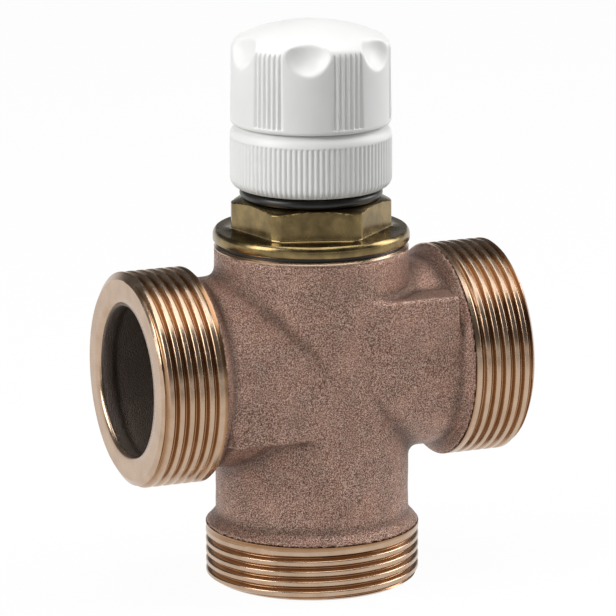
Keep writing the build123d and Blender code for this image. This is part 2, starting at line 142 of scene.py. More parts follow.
# Sizes of the hand head
ring_low, ring_high = node_box("union_ring")
knob_low, knob_high = node_box("knob")
ring_bottom = ring_low[2]
ring_top = ring_high[2]
ring_r = 17.95
ring_edge = 2.2
ring_bevel = (1.75, 2.7)
ring_rim = ring_top - ring_bevel[1]
ring_flat_r = 16.0
ring_bore_r = 14.95
ring_lip_r = 12.3
ring_lip = 2.9
ring_grooves = 94
ring_groove_depth = 0.37
knob_bottom = knob_low[2]
knob_top = knob_high[2]
knob_r = 17.8
knob_top_r = 17.6
knob_lip = 0.8
knob_shoulder = knob_bottom + 16.5
knob_edge_r = 3.0
rib_turn = -85.2
rib_step = 4.1
rib_depth = 0.53
rib_round = 0.07
rib_fade = 0.12
rib_bottom = knob_bottom + 1.0
ribs_end_r = 16.2
scoop_turn = -115.2
scoop_r = 7.8
scoop_out = 22.5
scoop_rim = 0.3
scoop_halo = 3
scoop_z = knob_bottom + 19.3
scoop_foot = 115.9
plain_side = (106.5, 115.5)

# Sizes inside the knob
screw_bore_r = 4.05
screw_bore_top = 122.0
hub_r = 7.0
hub_bottom = 109.5
barrel_bore_r = 12.05
clip_groove_r = 12.8
clip_groove = (105.95, 107.05)
sleeve_r = 13.7
hollow_r = 15.3
hollow_top = 114.0


def linear(hex_colour):
    """An sRGB hex colour as linear red, green, blue and full alpha."""
    parts = [int(hex_colour[i : i + 2], 16) / 255 for i in (1, 3, 5)]
    return (*(c / 12.92 if c <= 0.04045 else ((c + 0.055) / 1.055) ** 2.4 for c in parts), 1.0)


def ease(t):
    """A smooth step from 0 to 1: three t squared less two t cubed, held at its ends."""
    t = np.clip(t, 0, 1)
    return t * t * (3 - 2 * t)


def soft_min(a, b, k):
    """The smaller of two values, rounded over about k where they cross."""
    return 0.5 * (a + b - np.sqrt((a - b) ** 2 + k * k))


# Meshes


def new_object(name, mesh):
    """An object at the origin, linked to the scene."""
    piece = bpy.data.objects.new(name, mesh)
    bpy.context.scene.collection.objects.link(piece)
    return piece


def make_piece(name, points, faces, material, sharp=35, attributes=()):
    """A closed mesh from points in mm and quads: doubles merged, faces outwards, sharp edges kept."""
    mesh = bpy.data.meshes.new(name)
    mesh.vertices.add(len(points))
    mesh.vertices.foreach_set("co", (points * MM).astype(np.float32).ravel())
    mesh.loops.add(faces.size)
    mesh.loops.foreach_set("vertex_index", faces.astype(np.int32).ravel())
    mesh.polygons.add(len(faces))
    mesh.polygons.foreach_set("loop_start", np.arange(0, faces.size, 4, dtype=np.int32))
    mesh.update(calc_edges=True)
    for label, values in dict(attributes).items():
        mesh.attributes.new(label, "FLOAT", "POINT").data.foreach_set("value", values.astype(np.float32))
    tidy = bmesh.new()
    tidy.from_mesh(mesh)
    bmesh.ops.remove_doubles(tidy, verts=tidy.verts, dist=2e-6)
    bmesh.ops.dissolve_degenerate(tidy, edges=tidy.edges, dist=1e-6)
    bmesh.ops.recalc_face_normals(tidy, faces=tidy.faces)
    tidy.to_mesh(mesh)
    tidy.free()
    mesh.shade_smooth()
    mesh.set_sharp_from_angle(angle=math.radians(sharp))
    mesh.materials.append(material)
    return new_object(name, mesh)


def round_faces(rows, columns, shift=0):
    """Quads of a grid that closes round its columns. The last column meets the first, shift rows on."""
    row, column = np.meshgrid(np.arange(rows - 1), np.arange(columns), indexing="ij")
    jump = np.where(column == columns - 1, shift, 0)
    after = (column + 1) % columns
    quads = np.stack(
        [
            row * columns + column,
            (row + jump) * columns + after,
            (row + 1 + jump) * columns + after,
            (row + 1) * columns + column,
        ],
        axis=-1,
    )
    return quads[row + 1 + jump < rows]


def turned(profile, angles, centre=(0, 0, 0), axis=(0, 0, 1), zero=(1, 0, 0)):
    """A profile turned about an axis: centre + height along the axis + radius along the turned zero.

    radius and height hold one value for each row, or one for each row and angle."""
    radius, height = (np.asarray(v, float) for v in profile)
    axis, zero = np.array(axis, float), np.array(zero, float)
    side = np.cross(axis, zero)
    spoke = np.cos(angles)[:, None] * zero + np.sin(angles)[:, None] * side
    if radius.ndim == 1:
        radius = np.repeat(radius[:, None], len(angles), axis=1)
    if height.ndim == 1:
        height = np.repeat(height[:, None], len(angles), axis=1)
    return np.array(centre) + radius[..., None] * spoke + height[..., None] * axis


def full_turn(count):
    """Evenly spaced angles round a circle."""
    return np.linspace(0, 2 * math.pi, count, endpoint=False)


def steps(low, high, size):
    """Evenly spaced values from low to high, about size apart, both ends among them."""
    return np.linspace(low, high, max(2, int(round(abs(high - low) / size)) + 1))


def run_profile(corners, size=3.0):
    """A profile through its corners with points about size apart, as radius and height."""
    legs = [
        np.stack([np.linspace(a[k], b[k], max(2, int(math.dist(a, b) / size) + 2)) for k in (0, 1)])
        for a, b in zip(corners, corners[1:])
    ]
    return np.concatenate(legs, axis=1)


def side_arc(radius, height, width, rise, count=9):
    """Points of an arc from an upright side at radius and height: it ends width further in, rise higher."""
    arc_r = (width**2 + rise**2) / (2 * width)
    turn = np.linspace(0, math.asin(min(1.0, abs(rise) / arc_r)), count)
    return list(zip(radius - arc_r * (1 - np.cos(turn)), height + np.sign(rise) * arc_r * np.sin(turn)))


# A thread's shape across one pitch, as shares of the pitch from the middle of a crest
half_tooth = [0.05, 0.1, 0.14, 0.19, 0.26, 0.33, 0.4, 0.45]
tooth_samples = np.array([-0.5, *(-share for share in reversed(half_tooth)), 0, *half_tooth])
crest_edge = 0.17
root_edge = 0.46
straight = 0.35


def tooth(place):
    """Height of a thread from 0 at the root to 1 at the crest: straight flanks with half-rounded ends."""
    away = np.abs((place + 0.5) % 1 - 0.5)
    rise = np.clip((root_edge - away) / (root_edge - crest_edge), 0, 1)
    return straight * rise + (1 - straight) * ease(rise)


def threaded_ring(
    name, material, crest_r, depth, lead, limits, crest_at, fade, chamfer, back, frame_axes, columns=192
):
    """A ring with a right-handed outside thread. Rows follow the thread: height = crest_at + lead times the
    row's turn and the angle's share of a turn, held between the two limits, and radius = crest_r less
    depth times one less the tooth's height. Grooves fade in from the low end over the length fade, the
    chamfer limits the high end, and back is the rest of the closed profile."""
    low, high = limits
    angles = full_turn(columns)
    share = angles / (2 * math.pi)
    # Two spare turns at each end, which the limits cut off
    turns = int((high - low) / lead) + 4
    first = math.floor((low - crest_at) / lead) - 2
    rows = (np.arange(turns)[:, None] + tooth_samples).ravel() + first
    free = crest_at + lead * (rows[:, None] + share)
    height = np.clip(free, low, high)
    rise = tooth((height - crest_at) / lead - share)
    grow = ease((height - low) / fade)
    radius = crest_r - depth * grow * (1 - rise)
    chamfer_r, chamfer_length = chamfer
    cone = crest_r - (height - (high - chamfer_length)) * (crest_r - chamfer_r) / chamfer_length
    radius = np.minimum(radius, cone)
    points = turned((radius, height), angles, **frame_axes).reshape(-1, 3)
    faces = round_faces(len(rows), columns, shift=len(tooth_samples))
    flat = height.ravel()
    spread = flat[faces].max(axis=1) - flat[faces].min(axis=1)
    faces = faces[spread > 1e-9]
    # How deep each point lies in a thread's groove, 0 on the chamfer; the turned bronze finish paints
    # deeper points darker, as painted shade
    groove = (1 - rise).ravel() * np.where(cone.ravel() <= radius.ravel() + 1e-9, 0, 1)
    end_r = np.minimum(crest_r - depth * (1 - tooth((high - crest_at) / lead - share)), chamfer_r)
    start_r = np.full(columns, crest_r)
    corners = run_profile(back, 2.0)
    back_radius = np.concatenate([end_r[None], np.repeat(corners[0][:, None], columns, 1), start_r[None]])
    back_height = np.concatenate([[high], corners[1], [low]])
    rest = turned((back_radius, back_height), angles, **frame_axes).reshape(-1, 3)
    rest_faces = round_faces(len(back_height), columns) + len(points)
    groove = np.concatenate([groove, np.zeros(len(rest))])
    return make_piece(
        name,
        np.concatenate([points, rest]),
        np.concatenate([faces, rest_faces]),
        material,
        sharp=50,
        attributes={"groove": groove},
    )


# Materials


def add_node(tree, kind, options=None, values=None, links=None):
    """Adds a node, with its options, the values of its sockets, and what is linked into them."""
    node = tree.nodes.new(kind)
    for name, value in (options or {}).items():
        setattr(node, name, value)
    for socket, value in (values or {}).items():
        node.inputs[socket].default_value = value
    for socket, source in (links or {}).items():
        tree.links.new(source, node.inputs[socket])
    return node


def start_material(name, values):
    """A material with its Principled shader and its Object coordinates in mm."""
    material = bpy.data.materials.new(name)
    material.use_nodes = True
    tree = material.node_tree
    shader = tree.nodes["Principled BSDF"]
    for socket, value in values.items():
        shader.inputs[socket].default_value = value
    place = add_node(tree, "ShaderNodeTexCoord")
    in_mm = add_node(
        tree,
        "ShaderNodeVectorMath",
        {"operation": "SCALE"},
        {"Scale": 1 / MM},
        {0: place.outputs["Object"]},
    )
    return material, tree, shader, in_mm.outputs["Vector"]


def grain(tree, place, size, detail=2.0, roughness=0.5):
    """Noise whose lumps are about size mm across."""
    return add_node(
        tree,
        "ShaderNodeTexNoise",
        values={"Scale": 1.4 / size, "Detail": detail, "Roughness": roughness},
        links={"Vector": place},
    ).outputs["Fac"]


def ramp(tree, source, stops):
    """Colours or grey values along a factor; each stop is a place and a hex colour."""
    node = add_node(tree, "ShaderNodeValToRGB", links={"Fac": source})
    bar = node.color_ramp.elements
    while len(bar) < len(stops):
        bar.new(0.5)
    for element, (place, colour) in zip(bar, stops):
        element.position = place
        element.color = linear(colour)
    return node.outputs["Color"]


def span(tree, source, from_low, from_high, to_low, to_high):
    """A value moved from one range to another and held there."""
    return add_node(
        tree,
        "ShaderNodeMapRange",
        values={"From Min": from_low, "From Max": from_high, "To Min": to_low, "To Max": to_high},
        links={"Value": source},
    ).outputs["Result"]


def blend_colours(tree, factor, first, second, how="MIX"):
    """Two colours mixed by a factor; each is a hex colour or an output."""
    node = add_node(tree, "ShaderNodeMix", {"data_type": "RGBA", "blend_type": how})
    for socket, source in ((6, first), (7, second)):
        if isinstance(source, str):
            node.inputs[socket].default_value = linear(source)
        else:
            tree.links.new(source, node.inputs[socket])
    if isinstance(factor, float):
        node.inputs[0].default_value = factor
    else:
        tree.links.new(factor, node.inputs[0])
    return node.outputs[2]


def bump(tree, height, strength, distance, under=None):
    """A bump from a height, on top of another one if given; distance is in mm."""
    links = {"Height": height}
    if under is not None:
        links["Normal"] = under
    return add_node(
        tree, "ShaderNodeBump", values={"Strength": strength, "Distance": distance * MM}, links=links
    ).outputs["Normal"]


def cast_bronze():
    """Sand-cast red bronze: dull, mauve-brown, with the sand's fine grain, bright specks where the skin is
    rubbed, painted shade that darkens the hollows, and an even dark skin inside."""
    material, tree, shader, place = start_material(
        "sand_cast_bronze", {"Metallic": 0.75, "Roughness": 0.42}
    )
    clouds = grain(tree, place, 9.0, 3.0)
    sand = grain(tree, place, 0.36, 2.0, 0.6)
    fine = grain(tree, place, 0.28, 1.0)
    tone = ramp(tree, clouds, [(0.3, "#6A4B3D"), (0.5, "#835B4B"), (0.72, "#A87863")])
    sandy = ramp(tree, sand, [(0.38, "#46332B"), (0.5, "#A37E6E"), (0.6, "#FADCC8")])
    colour = blend_colours(tree, 0.5, tone, sandy)
    rubbed = span(tree, fine, 0.6, 0.7, 0.0, 0.8)
    colour = blend_colours(tree, rubbed, colour, "#F0D9CC")
    # Painted shade: the deeper a point lies in a hollow, the darker its colour
    hollow = add_node(tree, "ShaderNodeAttribute", {"attribute_name": "hollow"}).outputs["Fac"]
    hollow_shade = span(tree, hollow, 0.03, 0.3, 0.0, 0.6)
    colour = blend_colours(tree, hollow_shade, colour, "#4A3930")
    inside = add_node(tree, "ShaderNodeAttribute", {"attribute_name": "inside"}).outputs["Fac"]
    colour = blend_colours(tree, inside, colour, "#776B62")
    tree.links.new(colour, shader.inputs["Base Color"])
    tree.links.new(span(tree, sand, 0.35, 0.65, 0.6, 0.34), shader.inputs["Roughness"])
    lumps = bump(tree, sand, 1.0, 0.2)
    tree.links.new(bump(tree, fine, 0.8, 0.07, lumps), shader.inputs["Normal"])
    return material


def turned_bronze():
    """Turned red bronze: pinkish silver, with a fine grain from the tool, and thread roots painted darker
    and more golden, as painted shade.
    """
    material, tree, shader, place = start_material("turned_bronze", {"Metallic": 1.0, "Roughness": 0.24})
    groove = add_node(tree, "ShaderNodeAttribute", {"attribute_name": "groove"}).outputs["Fac"]
    clouds = grain(tree, place, 6.0, 3.0)
    tone = ramp(tree, clouds, [(0.3, "#B39B86"), (0.7, "#C4AD99")])
    # Painted shade: the deeper in a thread's groove, the darker and more golden the colour
    root = ramp(tree, groove, [(0.0, "#FFFBF6"), (0.4, "#EEDAC2"), (1.0, "#D2B79A")])
    colour = blend_colours(tree, 1.0, tone, root, "MULTIPLY")
    tree.links.new(colour, shader.inputs["Base Color"])
    tree.links.new(span(tree, clouds, 0.3, 0.7, 0.2, 0.3), shader.inputs["Roughness"])
    tree.links.new(bump(tree, grain(tree, place, 0.3), 0.2, 0.02), shader.inputs["Normal"])
    return material


def turned_brass():
    """Turned brass: pale yellow with an olive cast, satin from the tool, slightly stained by handling."""
    material, tree, shader, place = start_material("turned_brass", {"Metallic": 1.0, "Roughness": 0.2})
    clouds = grain(tree, place, 5.0, 4.0)
    tone = ramp(tree, clouds, [(0.34, "#746345"), (0.5, "#86744F"), (0.66, "#978259")])
    tree.links.new(tone, shader.inputs["Base Color"])
    tree.links.new(span(tree, clouds, 0.3, 0.7, 0.2, 0.3), shader.inputs["Roughness"])
    tree.links.new(bump(tree, grain(tree, place, 0.4), 0.15, 0.02), shader.inputs["Normal"])
    return material


def moulded_plastic(name, light, dark):
    """Injection-moulded plastic: even, satin, with a very fine spark-eroded grain."""
    material, tree, shader, place = start_material(name, {"Roughness": 0.4, "IOR": 1.53})
    tone = ramp(tree, grain(tree, place, 15.0, 2.0), [(0.3, dark), (0.7, light)])
    tree.links.new(tone, shader.inputs["Base Color"])
    tree.links.new(bump(tree, grain(tree, place, 0.3), 0.1, 0.01), shader.inputs["Normal"])
    return material


def black_rubber():
    """Moulded nitrile rubber: near black, half glossy, with a dusty bloom."""
    material, tree, shader, place = start_material("nitrile_rubber", {"Roughness": 0.34, "IOR": 1.5})
    tone = ramp(tree, grain(tree, place, 4.0, 3.0), [(0.35, "#141311"), (0.75, "#262421")])
    tree.links.new(tone, shader.inputs["Base Color"])
    tree.links.new(bump(tree, grain(tree, place, 0.5), 0.15, 0.02), shader.inputs["Normal"])
    return material


def drawn_steel():
    """Cold-drawn stainless steel: grey and satin, with a fine grain."""
    material, tree, shader, place = start_material("stainless_steel", {"Metallic": 1.0, "Roughness": 0.3})
    tone = ramp(tree, grain(tree, place, 2.0, 3.0), [(0.3, "#8E8E8B"), (0.7, "#B9B9B5")])
    tree.links.new(tone, shader.inputs["Base Color"])
    tree.links.new(bump(tree, grain(tree, place, 0.4), 0.15, 0.02), shader.inputs["Normal"])
    return material


casting_finish = cast_bronze()
bronze_finish = turned_bronze()
brass_finish = turned_brass()
plastic_finish = moulded_plastic("white_abs", "#F3F4F2", "#EEEFED")
guide_finish = moulded_plastic("ivory_acetal", "#DAD5C6", "#CFC9B8")
rubber_finish = black_rubber()
steel_finish = drawn_steel()


# Helpers for the casting's surface


def lattice_noise(points, height, size, seed):
    """Noise within height: random values on a cubic lattice of that size, eased into each other."""
    cells = 32
    table = np.random.default_rng(seed).uniform(-1, 1, (cells, cells, cells))
    place = points / size
    cell = np.floor(place).astype(int)
    share = ease(place - cell)
    total = np.zeros(len(points))
    for corner in np.ndindex(2, 2, 2):
        weight = np.prod(np.where(corner, share, 1 - share), axis=1)
        i, j, k = ((cell + corner) % cells).T
        total += weight * table[i, j, k]
    return height * total


def relax(points, edges, weight, rounds):
    """Moves each point towards the mean of its neighbours by its weight, a number of times."""
    count = len(points)
    near = np.bincount(edges.ravel(), minlength=count)[:, None]
    for _ in range(rounds):
        total = np.stack(
            [
                np.bincount(edges[:, 0], points[edges[:, 1], k], count)
                + np.bincount(edges[:, 1], points[edges[:, 0], k], count)
                for k in range(3)
            ],
            axis=1,
        )
        points = points + weight[:, None] * (total / near - points)
    return points


def mesh_points(mesh):
    """A mesh's points in mm."""
    flat = np.empty(len(mesh.vertices) * 3, np.float32)
    mesh.vertices.foreach_get("co", flat)
    return flat.reshape(-1, 3).astype(float) / MM


def set_points(mesh, points):
    """Writes points in mm into a mesh."""
    mesh.vertices.foreach_set("co", (points * MM).astype(np.float32).ravel())
    mesh.update()


# Pieces of the valve


def turn_down(points):
    """Points of the casting with its threads, faces and top turned away, for the turned pieces."""
    points = points.copy()
    root_r = thread_r - under_thread
    past = 0.05
    side_r = np.hypot(points[:, 1], points[:, 2] - axis_z)
    in_side = (np.abs(points[:, 0]) > side_shoulder + past) & (side_r > root_r)
    cut = np.where(in_side, root_r / np.maximum(side_r, tiny), 1)
    points[:, 1] *= cut
    points[:, 2] = axis_z + (points[:, 2] - axis_z) * cut
    down_r = np.hypot(points[:, 0], points[:, 1])
    in_bottom = (points[:, 2] < bottom_shoulder - past) & (down_r > root_r)
    points[:, :2] *= np.where(in_bottom, root_r / np.maximum(down_r, tiny), 1)[:, None]
    points[:, 0] = np.clip(points[:, 0], behind_face - side_reach, side_reach - behind_face)
    top_r = column_r - top_bevel - under_top
    in_top = (points[:, 2] > body_top - top_turned + under_top) & (down_r > top_r)
    points[:, :2] *= np.where(in_top, top_r / np.maximum(down_r, tiny), 1)[:, None]
    points[:, 2] = np.clip(points[:, 2], behind_face, body_top - under_top)
    return points


def make_casting():
    """The casting: the frame's body remeshed, its creases softened by relaxing, its surface moved along
    its normal by two sizes of noise, as sand leaves it, and its threads turned down. Its top stays even."""
    mesh = frame["nodes"]["valve_body"].data.copy()
    tidy = bmesh.new()
    tidy.from_mesh(mesh)
    bmesh.ops.remove_doubles(tidy, verts=tidy.verts, dist=1e-6)
    tidy.to_mesh(mesh)
    tidy.free()
    body = new_object("casting", mesh)
    skin = body.modifiers.new("skin", "REMESH")
    skin.mode = "VOXEL"
    skin.voxel_size = casting_grid * MM
    graph = bpy.context.evaluated_depsgraph_get()
    fine = bpy.data.meshes.new_from_object(body.evaluated_get(graph))
    body.modifiers.clear()
    body.data = fine
    points = mesh_points(fine)
    edges = np.empty(len(fine.edges) * 2, np.int32)
    fine.edges.foreach_get("vertices", edges)
    edges = edges.reshape(-1, 2)
    free = ease((body_top - 1.0 - points[:, 2]) / 1.5)
    points = relax(points, edges, 0.5 * free, 1)
    set_points(fine, points)
    normals = np.empty(len(points) * 3, np.float32)
    fine.vertex_normals.foreach_get("vector", normals)
    normals = normals.reshape(-1, 3)
    wave = lattice_noise(points, *broad_noise) + lattice_noise(points, *narrow_noise)
    points = turn_down(points + normals * (wave * free)[:, None])
    set_points(fine, points)
    # How deep each point lies in a hollow, for the painted shade there, and whether it lines a passage
    settled = relax(points, edges, np.full(len(points), 0.5), hollow_rounds)
    from_cross_axis = np.hypot(points[:, 1], points[:, 2] - axis_z)
    from_column_axis = np.hypot(points[:, 0], points[:, 1])
    for label, values in (
        ("hollow", np.einsum("ij,ij->i", settled - points, normals)),
        ("inside", np.minimum(from_cross_axis, from_column_axis) < core_r + 1.0),
    ):
        fine.attributes.new(label, "FLOAT", "POINT").data.foreach_set("value", values.astype(np.float32))
    fine.shade_smooth()
    fine.materials.clear()
    fine.materials.append(casting_finish)
    return body


def make_port(name, axis, centre, shoulder, reach, crest_at):
    """A port's turned end: true pipe thread outside, chamfer, gasket face and the bevel into the bore."""
    inner = core_r + 1.2
    lip = 0.15
    back = [
        (face_r - lip, reach),
        (bore_r + bore_bevel, reach),
        (bore_r, reach - bore_bevel),
        (bore_r, reach - bore_bevel - lip),
        (inner, reach - bore_bevel - lip),
        (inner, shoulder),
    ]
    return threaded_ring(
        name,
        bronze_finish,
        crest_r=thread_r,
        depth=thread_depth,
        lead=pitch,
        limits=(shoulder, reach),
        crest_at=crest_at,
        fade=thread_fade,
        chamfer=(face_r, end_chamfer),
        back=back,
        frame_axes={"centre": centre, "axis": axis, "zero": (0, -1, 0)},
    )


def make_top_ring():
    """The turned ring round the top of the casting, under the gasket, with its bevelled edge."""
    inner = bore_r + 1.0
    section = run_profile(
        [
            (inner, body_top - top_turned),
            (column_r, body_top - top_turned),
            (column_r, body_top - top_bevel),
            (column_r - top_bevel, body_top),
            (inner, body_top),
            (inner, body_top - top_turned),
        ]
    )
    angles = full_turn(180)
    points = turned(section, angles).reshape(-1, 3)
    faces = round_faces(len(section[0]), len(angles))
    return make_piece(
        "top_ring", points, faces, bronze_finish, attributes={"groove": np.zeros(len(points))}
    )


def make_bonnet():
    """The bonnet: a profile turned about the stem's axis. Its radius between the flange and the neck is
    the smallest of the hexagon, its turned corners and the cone that cuts them at the top."""
    # Columns of a sixth of the turn, in degrees from a flat's middle, crowded where flat and corner meet
    sector = np.concatenate([[-30, -28.5, -27.2], steps(-26.8, -25.2, 0.2), steps(-24.5, 24.5, 3.5)])
    sector = np.concatenate([sector, steps(25.2, 26.8, 0.2), [27.2, 28.5]])
    angles = np.radians(np.concatenate([sector + 60 * k for k in range(6)]) + flat_turn)
    flats = hex_flat / np.cos(np.radians((np.degrees(angles) - flat_turn + 30) % 60 - 30))
    outline = soft_min(flats, np.full_like(flats, hex_corner_r), 0.12)
    shoulder = side_arc(flange_r, flange_top - flange_edge[1], *flange_edge)
    below = run_profile(
        [
            (seat_r, seat_z),
            (skirt_r, seat_z + 0.5),
            (skirt_r, skirt_top),
            (plug_r, skirt_top + 0.8),
            (plug_r, flange_bottom),
            *((flange_r + out, flange_bottom + up) for out, up in flange_foot),
            *shoulder,
            (flange_middle_r, flange_top),
        ]
    )
    foot = np.linspace(0, hex_foot, 6)
    heights = np.concatenate([flange_top + foot, steps(flange_top + 1.5, cone_foot, 1.5)])
    heights = np.concatenate([heights, steps(cone_foot + 0.2, hex_top, 0.1)])
    cone = cone_top_r + (hex_top - heights) * cone_slope
    rise = np.clip(hex_foot - (heights - flange_top), 0, hex_foot)
    toe = hex_foot - np.sqrt(hex_foot**2 - rise**2)
    hexagon = soft_min(outline[None, :], cone[:, None], 0.15) + toe[:, None]
    above = run_profile(
        [
            (hex_rim_r, hex_top),
            (relief_r, hex_top),
            (relief_r, neck_thread_bottom),
            (neck_core_r, neck_thread_bottom),
            (neck_core_r, pocket_rim),
            (pocket_r + 0.3, pocket_rim),
            (pocket_r, pocket_rim - 0.3),
            (pocket_r, pocket_floor),
            (gland_r, pocket_floor),
            (gland_r, gland_floor),
            (stem_hole_r, gland_floor),
            (stem_hole_r, seat_z),
            (seat_r, seat_z),
        ]
    )
    round_rows = [np.repeat(part[0][:, None], len(angles), 1) for part in (below, above)]
    radius = np.concatenate([round_rows[0], hexagon, round_rows[1]])
    height = np.concatenate([below[1], heights, above[1]])
    points = turned((radius, height), angles).reshape(-1, 3)
    faces = round_faces(len(height), len(angles))
    return make_piece("bonnet_turned", points, faces, brass_finish, sharp=28)


def make_neck_thread():
    """The bonnet's neck thread, on which the union ring turns."""
    back = [
        (neck_inner_r, bonnet_top),
        (neck_inner_r, bonnet_top - 1.0),
        (relief_r - 1.0, neck_thread_bottom),
    ]
    return threaded_ring(
        "neck_thread",
        brass_finish,
        crest_r=neck_r,
        depth=neck_thread_depth,
        lead=neck_pitch,
        limits=(neck_thread_bottom, bonnet_top),
        crest_at=neck_crest,
        fade=neck_fade,
        chamfer=(neck_r - neck_chamfer, neck_chamfer),
        back=back,
        frame_axes={"centre": (0, 0, 0), "axis": (0, 0, 1), "zero": (1, 0, 0)},
        columns=120,
    )


def make_ring():
    """The union ring: a turned profile cut by upright V grooves with slightly rounded floors and rims."""
    columns = ring_grooves * 10
    angles = full_turn(columns)
    step = 360 / ring_grooves
    arc = np.abs((np.degrees(angles) + step / 2) % step - step / 2) * math.radians(1) * ring_r
    rounding = 0.08
    floor = np.hypot(arc, rounding) - rounding / 2
    groove = soft_min(np.full(columns, ring_groove_depth), floor, rounding) - ring_groove_depth
    outside = run_profile(
        [
            (ring_bore_r, ring_bottom),
            (ring_r - ring_edge - 0.1, ring_bottom),
            *reversed(side_arc(ring_r, ring_bottom + ring_edge, ring_edge, -ring_edge, 13)),
            (ring_r, ring_rim - 0.3),
            (ring_r, ring_rim - 0.15),
            *side_arc(ring_r, ring_rim, *ring_bevel, 15),
            (ring_flat_r, ring_top),
            (ring_lip_r, ring_top),
            (ring_lip_r, ring_top - ring_lip),
            (ring_bore_r, ring_top - ring_lip),
            (ring_bore_r, ring_bottom),
        ],
        1.0,
    )
    # Grooves only on the outside, faded out towards the foot and the rim
    rim = outside[0] > ring_r - ring_edge - 0.05
    height = outside[1]
    share = ease((height - ring_bottom - 0.1) / 0.5) * ease((ring_rim + 0.15 - height) / 0.35) * rim
    radius = outside[0][:, None] + share[:, None] * groove[None, :]
    points = turned((radius, height), angles).reshape(-1, 3)
    faces = round_faces(len(height), columns)
    return make_piece("union_ring_knurled", points, faces, plastic_finish, sharp=70)


def make_knob():
    """The knob: a turned cap whose radius is cut back to V grooves in six fields, and whose surface is
    pushed in along its normal to six spheres, the thumb scoops."""
    # Columns of a sixth of the turn, in degrees from the middle of a rib field: ribs, then the plain part
    field = rib_step * 6
    ribs = steps(-field / 2, field / 2, rib_step / 12)
    sector = np.concatenate([ribs, steps(field / 2, 60 - field / 2, 1.0)[1:-1]])
    angles = np.radians(np.concatenate([sector + rib_turn + 60 * k for k in range(6)]))
    local = (np.degrees(angles) - rib_turn + 30) % 60 - 30
    nearest = np.clip(np.floor(local / rib_step), -3, 2) * rib_step + rib_step / 2
    arc = np.abs(local - nearest) * math.radians(1) * knob_r
    cut = (knob_r + knob_top_r) / 2 - rib_depth + np.hypot(arc, rib_round)
    # The shell's profile: lip, ribbed side, rounded edge and dome
    edge_out = knob_top_r - knob_edge_r
    rise = knob_top - knob_shoulder
    dome_r = (edge_out**2 + rise**2 - knob_edge_r**2) / (2 * (rise - knob_edge_r))
    dome_z = knob_top - dome_r
    meet = math.atan2(knob_shoulder - dome_z, edge_out)
    turn = np.linspace(0, meet, 26)
    fan = np.linspace(meet, math.pi / 2, 44)[1:]
    lower = run_profile(
        [
            (hollow_r, knob_bottom),
            *reversed(side_arc(knob_r, knob_bottom + knob_lip, knob_lip, -knob_lip, 7)),
            (knob_r, rib_bottom - 0.1),
            (knob_r, rib_bottom - 0.05),
        ],
        1.0,
    )
    levels = np.concatenate([rib_bottom + np.array([0, 0.06, 0.12, 0.25]), steps(*plain_side, 3.0)])
    levels = np.concatenate([levels, steps(scoop_foot, knob_shoulder - 0.3, 0.35)])
    taper = (knob_top_r - knob_r) / (knob_shoulder - knob_bottom - knob_lip)
    side = np.stack([knob_r + taper * (levels - knob_bottom - knob_lip), levels])
    edge = np.stack([edge_out + knob_edge_r * np.cos(turn), knob_shoulder + knob_edge_r * np.sin(turn)])
    dome = np.stack([dome_r * np.cos(fan), dome_z + dome_r * np.sin(fan)])
    inside = run_profile(
        [
            (0, screw_bore_top),
            (screw_bore_r, screw_bore_top),
            (screw_bore_r, hub_bottom),
            (hub_r, hub_bottom),
            (hub_r, screw_bore_top),
            (barrel_bore_r, screw_bore_top),
            (barrel_bore_r, clip_groove[1]),
            (clip_groove_r, clip_groove[1]),
            (clip_groove_r, clip_groove[0]),
            (barrel_bore_r, clip_groove[0]),
            (barrel_bore_r, knob_bottom),
            (sleeve_r, knob_bottom),
            (sleeve_r, hollow_top),
            (hollow_r, hollow_top),
            (hollow_r, knob_bottom),
        ]
    )
    shell = np.concatenate([lower, side, edge, dome], axis=1)
    radius = np.repeat(shell[0][:, None], len(angles), 1)
    ribbed = ease((shell[1] - rib_bottom) / rib_fade)[:, None]
    cut_back = np.where(radius > ribs_end_r, soft_min(radius, cut[None, :], 0.06), radius)
    radius = radius + ribbed * (cut_back - radius)
    # Thumb scoops
    points = turned((radius, shell[1]), angles)
    slope = np.gradient(shell[0]), np.gradient(shell[1])
    length = np.hypot(*slope)
    normal = turned((slope[1] / length, -slope[0] / length), angles)
    for k in range(6):
        middle = math.radians(scoop_turn + 60 * k)
        centre = np.array([scoop_out * math.cos(middle), scoop_out * math.sin(middle), scoop_z])
        # How far each point goes in along its normal to reach the sphere's surface
        away = points - centre
        inward = np.einsum("ijk,ijk->ij", away, normal)
        apart = np.einsum("ijk,ijk->ij", away, away)
        reach = inward + np.sqrt(np.maximum(inward**2 + scoop_r**2 - apart, 0))
        push = np.where(apart < (scoop_r + scoop_halo) ** 2, -soft_min(-reach, 0, scoop_rim), 0)
        points = points - normal * push[..., None]
    core = turned(inside, angles)
    all_points = np.concatenate([core.reshape(-1, 3), points.reshape(-1, 3)])
    faces = round_faces(len(core) + len(points), len(angles))
    return make_piece("knob_cap", all_points, faces, plastic_finish, sharp=70)


# Bodies that the pieces ride on and the CAD nodes that they replace
casting_pieces = (
    make_casting(),
    make_port("thread_a", (-1, 0, 0), (0, 0, axis_z), side_shoulder, side_reach, crest_a),
    make_port("thread_b", (1, 0, 0), (0, 0, axis_z), side_shoulder, side_reach, crest_b),
    make_port("thread_ab", (0, 0, -1), (0, 0, 0), -bottom_shoulder, 0.0, crest_ab),
    make_top_ring(),
)
for piece in casting_pieces:
    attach(piece, "valve")
    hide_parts("valve_body")
for piece in (make_bonnet(), make_neck_thread()):
    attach(piece, "valve")
    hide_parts("bonnet")
for piece, body, node in ((make_ring(), "ring", "union_ring"), (make_knob(), "hand_knob", "knob")):
    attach(piece, body)
    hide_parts(node)

